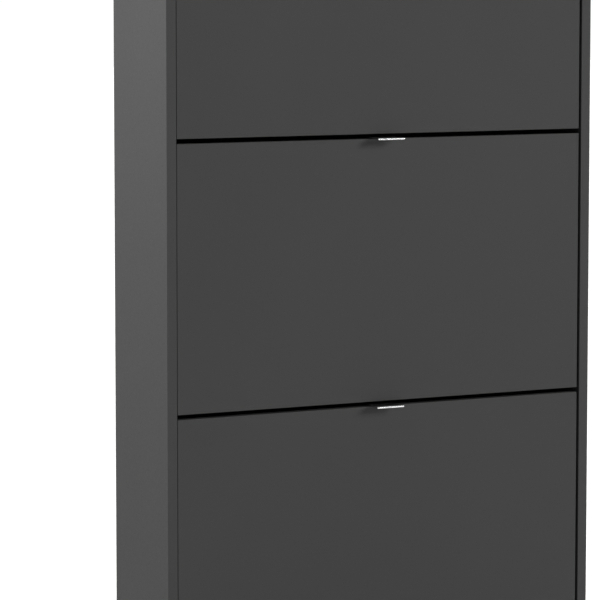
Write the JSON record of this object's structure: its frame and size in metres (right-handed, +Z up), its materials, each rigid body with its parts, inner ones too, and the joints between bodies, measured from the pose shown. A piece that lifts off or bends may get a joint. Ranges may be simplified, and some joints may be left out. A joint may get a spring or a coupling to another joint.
{
  "type": "shoe cabinet",
  "caption": "Tall shallow dark grey shoe cabinet with stacked tilting flaps, tab handles, recessed plinth and shoe racks behind each flap.",
  "frame": {"origin": "on the floor, under the middle of the whole cabinet's bounding box, handles included", "axes": "+X to the right seen from the front, +Y from the front to the back, +Z up"},
  "size_m": [0.702, 0.184, 1.235],
  "materials": {
    "dark_board": "matt dark grey melamine-faced particle board",
    "back_sheet": "hardboard, dark grey foil inside, raw brown outside",
    "black_plastic": "fine textured moulded plastic",
    "stop_rubber": "matt",
    "zinc_steel": "bright zinc plated",
    "bright_metal": "bright polished"
  },
  "bodies": {
    "carcass": {"back_joiner": "black_plastic", "back_panel_lower": "back_sheet", "back_panel_upper": "back_sheet", "bottom_panel": "dark_board", "cross_rail_lower": "dark_board", "cross_rail_upper": "dark_board", "glide_front_left": "black_plastic", "glide_front_right": "black_plastic", "glide_rear_left": "black_plastic", "glide_rear_right": "black_plastic", "pivot_bush_lower_left": "black_plastic", "pivot_bush_lower_right": "black_plastic", "pivot_bush_middle_left": "black_plastic", "pivot_bush_middle_right": "black_plastic", "pivot_bush_upper_left": "black_plastic", "pivot_bush_upper_right": "black_plastic", "plinth_front": "dark_board", "plinth_rear": "dark_board", "side_panel_left": "dark_board", "side_panel_right": "dark_board", "stop_block_lower_left": "stop_rubber", "stop_block_lower_right": "stop_rubber", "stop_block_middle_left": "stop_rubber", "stop_block_middle_right": "stop_rubber", "stop_block_upper_left": "stop_rubber", "stop_block_upper_right": "stop_rubber", "top_panel": "dark_board", "wall_bracket_left": "zinc_steel", "wall_bracket_right": "zinc_steel"},
    "flap_upper": {"flap_bracket_upper_left": "black_plastic", "flap_bracket_upper_right": "black_plastic", "flap_front_upper": "dark_board", "handle_screw_upper_left": "zinc_steel", "handle_screw_upper_right": "zinc_steel", "handle_upper": "bright_metal", "pivot_pin_upper_left": "zinc_steel", "pivot_pin_upper_right": "zinc_steel", "rear_board_upper": "dark_board", "shelf_board_upper": "dark_board"},
    "flap_middle": {"flap_bracket_middle_left": "black_plastic", "flap_bracket_middle_right": "black_plastic", "flap_front_middle": "dark_board", "handle_middle": "bright_metal", "handle_screw_middle_left": "zinc_steel", "handle_screw_middle_right": "zinc_steel", "pivot_pin_middle_left": "zinc_steel", "pivot_pin_middle_right": "zinc_steel", "rear_board_middle": "dark_board", "shelf_board_middle": "dark_board"},
    "flap_lower": {"flap_bracket_lower_left": "black_plastic", "flap_bracket_lower_right": "black_plastic", "flap_front_lower": "dark_board", "handle_lower": "bright_metal", "handle_screw_lower_left": "zinc_steel", "handle_screw_lower_right": "zinc_steel", "pivot_pin_lower_left": "zinc_steel", "pivot_pin_lower_right": "zinc_steel", "rear_board_lower": "dark_board", "shelf_board_lower": "dark_board"}
  },
  "joints": [
    {"name": "flap_upper_tilt", "type": "hinge", "parent": "carcass", "child": "flap_upper", "pos_m": [0, -0.0505, 0.8913], "axis": [1, 0, 0], "range_deg": [0, 45]},
    {"name": "flap_middle_tilt", "type": "hinge", "parent": "carcass", "child": "flap_middle", "pos_m": [0, -0.0505, 0.5066], "axis": [1, 0, 0], "range_deg": [0, 45]},
    {"name": "flap_lower_tilt", "type": "hinge", "parent": "carcass", "child": "flap_lower", "pos_m": [0, -0.0505, 0.1219], "axis": [1, 0, 0], "range_deg": [0, 45]}
  ]
}
